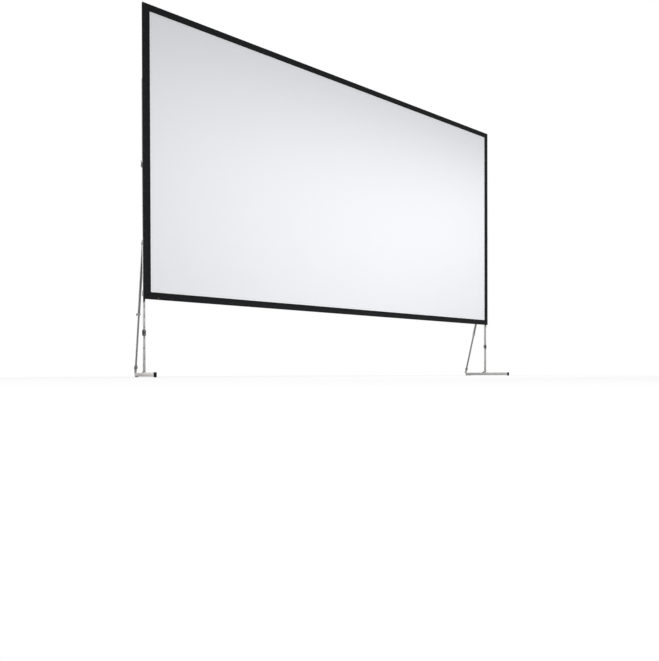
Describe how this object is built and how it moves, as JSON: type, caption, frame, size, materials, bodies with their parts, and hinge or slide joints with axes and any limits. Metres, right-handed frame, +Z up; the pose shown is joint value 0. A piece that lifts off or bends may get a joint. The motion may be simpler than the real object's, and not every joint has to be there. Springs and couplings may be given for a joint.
{
  "type": "rear projection screen",
  "caption": "Free-standing folding-frame projection screen: a pale rear film with a black border, held up on height-adjustable T-shaped legs with telescopic braces behind.",
  "frame": {"origin": "centre of the floor area that the screen covers, on the floor between the legs", "axes": "+X to the right as seen by someone who faces the screen, +Y away from them towards the braces, +Z up"},
  "size_m": [5.8806, 0.9574, 4.255],
  "materials": {
    "film": "satin",
    "border": "matte",
    "frame": "satin",
    "leg": "satin",
    "dark_metal": "satin",
    "black_plastic": "satin",
    "black_rubber": "matte"
  },
  "bodies": {
    "screen_frame": {"projection_film": "film", "border_top": "border", "border_bottom": "border", "border_left": "border", "border_right": "border", "top_rail_1": "frame", "top_rail_2": "frame", "top_rail_3": "frame", "top_rail_4": "frame", "bottom_rail_1": "frame", "bottom_rail_2": "frame", "bottom_rail_3": "frame", "bottom_rail_4": "frame", "left_rail_1": "frame", "left_rail_2": "frame", "right_rail_1": "frame", "right_rail_2": "frame", "top_joint_1": "dark_metal", "top_joint_2": "dark_metal", "top_joint_3": "dark_metal", "bottom_joint_1": "dark_metal", "bottom_joint_2": "dark_metal", "bottom_joint_3": "dark_metal", "left_joint_1": "dark_metal", "right_joint_1": "dark_metal", "left_upper_clamp": "dark_metal", "left_lower_clamp": "dark_metal", "right_upper_clamp": "dark_metal", "right_lower_clamp": "dark_metal"},
    "left_leg": {"left_leg_upper": "leg", "left_brace_bracket": "dark_metal"},
    "left_link": {"left_leg_knuckle": "dark_metal"},
    "left_shank": {"left_leg_lower": "leg"},
    "left_foot": {"left_foot_bar": "leg", "left_foot_cap": "black_rubber", "left_foot_pads": "black_rubber", "left_foot_hinge": "dark_metal"},
    "left_shoe": {"left_brace_shoe": "dark_metal"},
    "left_brace": {"left_brace_outer": "leg", "left_brace_collar": "dark_metal"},
    "left_stay": {"left_brace_inner": "leg"},
    "left_knob": {"left_wing_knob": "black_plastic"},
    "left_lever": {"left_clamp_lever": "black_plastic"},
    "left_grip": {"left_height_grip": "black_plastic"},
    "right_leg": {"right_leg_upper": "leg", "right_brace_bracket": "dark_metal"},
    "right_link": {"right_leg_knuckle": "dark_metal"},
    "right_shank": {"right_leg_lower": "leg"},
    "right_foot": {"right_foot_bar": "leg", "right_foot_cap": "black_rubber", "right_foot_pads": "black_rubber", "right_foot_hinge": "dark_metal"},
    "right_shoe": {"right_brace_shoe": "dark_metal"},
    "right_brace": {"right_brace_outer": "leg", "right_brace_collar": "dark_metal"},
    "right_stay": {"right_brace_inner": "leg"},
    "right_knob": {"right_wing_knob": "black_plastic"},
    "right_lever": {"right_clamp_lever": "black_plastic"},
    "right_grip": {"right_height_grip": "black_plastic"}
  },
  "joints": [
    {"name": "left_leg_slide", "type": "slide", "parent": "screen_frame", "child": "left_leg", "axis": [0, 0, 1], "range_m": [-0.48, 0.24]},
    {"name": "left_knuckle_upper", "type": "hinge", "parent": "left_leg", "child": "left_link", "pos_m": [-2.9125, 0.01629, 0.532], "axis": [0, 1, 0], "range_deg": [0, 90]},
    {"name": "left_knuckle_lower", "type": "hinge", "parent": "left_link", "child": "left_shank", "pos_m": [-2.9125, 0.01629, 0.488], "axis": [0, 1, 0], "range_deg": [0, 90]},
    {"name": "left_foot_fold", "type": "hinge", "parent": "left_shank", "child": "left_foot", "pos_m": [-2.9125, 0.03679, 0.069], "axis": [1, 0, 0], "range_deg": [0, 90]},
    {"name": "left_shoe_turn", "type": "hinge", "parent": "left_foot", "child": "left_shoe", "pos_m": [-2.9125, 0.46329, 0.05], "axis": [1, 0, 0], "range_deg": [-105.5, 0]},
    {"name": "left_brace_swing", "type": "hinge", "parent": "left_leg", "child": "left_brace", "pos_m": [-2.9125, 0.05579, 1.535], "axis": [1, 0, 0], "range_deg": [-15.4, 0]},
    {"name": "left_brace_slide", "type": "slide", "parent": "left_brace", "child": "left_stay", "axis": [0, -0.2646, 0.9644], "range_m": [0, 0.521]},
    {"name": "left_knob_turn", "type": "hinge", "parent": "left_brace", "child": "left_knob", "pos_m": [-2.9308, 0.27344, 0.74182], "axis": [-1, 0, 0], "range_deg": [0, 360]},
    {"name": "left_lever_turn", "type": "hinge", "parent": "screen_frame", "child": "left_lever", "pos_m": [-2.9336, 0.01629, 2.415], "axis": [0, -1, 0], "range_deg": [0, 120]},
    {"name": "left_grip_pull", "type": "slide", "parent": "screen_frame", "child": "left_grip", "axis": [0, 0, -1], "range_m": [0, 0.012], "stiffness_N_per_m": 500, "springref_m": -0.01},
    {"name": "right_leg_slide", "type": "slide", "parent": "screen_frame", "child": "right_leg", "axis": [0, 0, 1], "range_m": [-0.48, 0.24]},
    {"name": "right_knuckle_upper", "type": "hinge", "parent": "right_leg", "child": "right_link", "pos_m": [2.9125, 0.01629, 0.532], "axis": [0, -1, 0], "range_deg": [0, 90]},
    {"name": "right_knuckle_lower", "type": "hinge", "parent": "right_link", "child": "right_shank", "pos_m": [2.9125, 0.01629, 0.488], "axis": [0, -1, 0], "range_deg": [0, 90]},
    {"name": "right_foot_fold", "type": "hinge", "parent": "right_shank", "child": "right_foot", "pos_m": [2.9125, 0.03679, 0.069], "axis": [1, 0, 0], "range_deg": [0, 90]},
    {"name": "right_shoe_turn", "type": "hinge", "parent": "right_foot", "child": "right_shoe", "pos_m": [2.9125, 0.46329, 0.05], "axis": [1, 0, 0], "range_deg": [-105.5, 0]},
    {"name": "right_brace_swing", "type": "hinge", "parent": "right_leg", "child": "right_brace", "pos_m": [2.9125, 0.05579, 1.535], "axis": [1, 0, 0], "range_deg": [-15.4, 0]},
    {"name": "right_brace_slide", "type": "slide", "parent": "right_brace", "child": "right_stay", "axis": [0, -0.2646, 0.9644], "range_m": [0, 0.521]},
    {"name": "right_knob_turn", "type": "hinge", "parent": "right_brace", "child": "right_knob", "pos_m": [2.9308, 0.27344, 0.74182], "axis": [1, 0, 0], "range_deg": [0, 360]},
    {"name": "right_lever_turn", "type": "hinge", "parent": "screen_frame", "child": "right_lever", "pos_m": [2.9336, 0.01629, 2.415], "axis": [0, 1, 0], "range_deg": [0, 120]},
    {"name": "right_grip_pull", "type": "slide", "parent": "screen_frame", "child": "right_grip", "axis": [0, 0, -1], "range_m": [0, 0.012], "stiffness_N_per_m": 500, "springref_m": -0.01}
  ],
  "couplings": [
    {"joint": "left_knuckle_lower", "follows": "left_knuckle_upper", "ratio": 1},
    {"joint": "left_shoe_turn", "follows": "left_foot_fold", "ratio": -1.1705},
    {"joint": "left_brace_swing", "follows": "left_foot_fold", "ratio": -0.1705},
    {"joint": "left_brace_slide", "follows": "left_foot_fold", "m_per_rad": 0.33104},
    {"joint": "right_knuckle_lower", "follows": "right_knuckle_upper", "ratio": 1},
    {"joint": "right_shoe_turn", "follows": "right_foot_fold", "ratio": -1.1705},
    {"joint": "right_brace_swing", "follows": "right_foot_fold", "ratio": -0.1705},
    {"joint": "right_brace_slide", "follows": "right_foot_fold", "m_per_rad": 0.33104}
  ]
}
